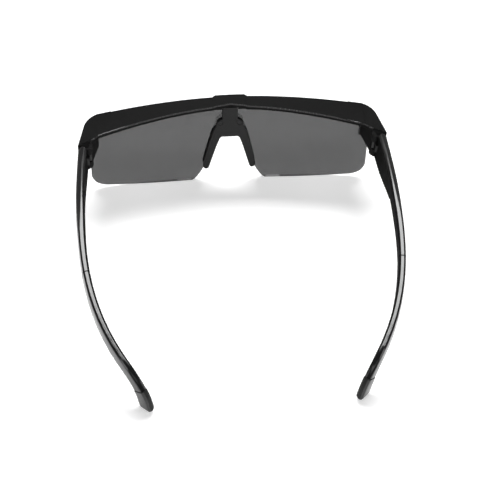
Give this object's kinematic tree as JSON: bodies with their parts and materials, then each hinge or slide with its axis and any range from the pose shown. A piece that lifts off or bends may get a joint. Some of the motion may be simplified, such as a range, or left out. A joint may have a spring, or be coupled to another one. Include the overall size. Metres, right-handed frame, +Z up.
{
  "type": "fit-over sunglasses",
  "caption": "Fit-over sunglasses: deep brow frame with a flat top shelf, smoked lenses, T-shaped nose bridge and folding temples that curl in at the ends.",
  "frame": {"origin": "middle of the footprint, on the surface that the lens feet and temple tips stand on, temples open", "axes": "+X towards the wearer's right-hand side, +Y the way the wearer looks, +Z up"},
  "size_m": [0.1512, 0.1506, 0.0525],
  "materials": {
    "brow_frame": "satin black",
    "nose_bridge": "satin black",
    "lens_right": "smoke grey tint, polished",
    "lens_screw_right": "bright steel",
    "hinge_screw_right": "bright steel",
    "hinge_insert_right": "turned brass",
    "temple_arm_right": "gloss black",
    "temple_sleeve_right": "soft gloss black",
    "temple_tip_right": "soft gloss black",
    "temple_core_right": "rolled steel strip",
    "lens_left": "smoke grey tint, polished",
    "lens_screw_left": "bright steel",
    "hinge_screw_left": "bright steel",
    "hinge_insert_left": "turned brass",
    "temple_arm_left": "gloss black",
    "temple_sleeve_left": "soft gloss black",
    "temple_tip_left": "soft gloss black",
    "temple_core_left": "rolled steel strip"
  },
  "bodies": {
    "front": {"brow_frame": "brow_frame", "nose_bridge": "nose_bridge", "lens_right": "lens_right", "lens_screw_right": "lens_screw_right", "hinge_screw_right": "hinge_screw_right", "hinge_insert_right": "hinge_insert_right", "lens_left": "lens_left", "lens_screw_left": "lens_screw_left", "hinge_screw_left": "hinge_screw_left", "hinge_insert_left": "hinge_insert_left"},
    "temple_right": {"temple_arm_right": "temple_arm_right", "temple_sleeve_right": "temple_sleeve_right", "temple_tip_right": "temple_tip_right", "temple_core_right": "temple_core_right"},
    "temple_left": {"temple_arm_left": "temple_arm_left", "temple_sleeve_left": "temple_sleeve_left", "temple_tip_left": "temple_tip_left", "temple_core_left": "temple_core_left"}
  },
  "joints": [
    {"name": "left_temple_fold", "type": "hinge", "parent": "front", "child": "temple_left", "pos_m": [-0.0692, 0.05125, 0.046], "axis": [0, -0.2045, 0.9789], "range_deg": [0, 82]},
    {"name": "right_temple_fold", "type": "hinge", "parent": "front", "child": "temple_right", "pos_m": [0.0692, 0.05125, 0.046], "axis": [0, 0.2045, -0.9789], "range_deg": [0, 72]}
  ]
}
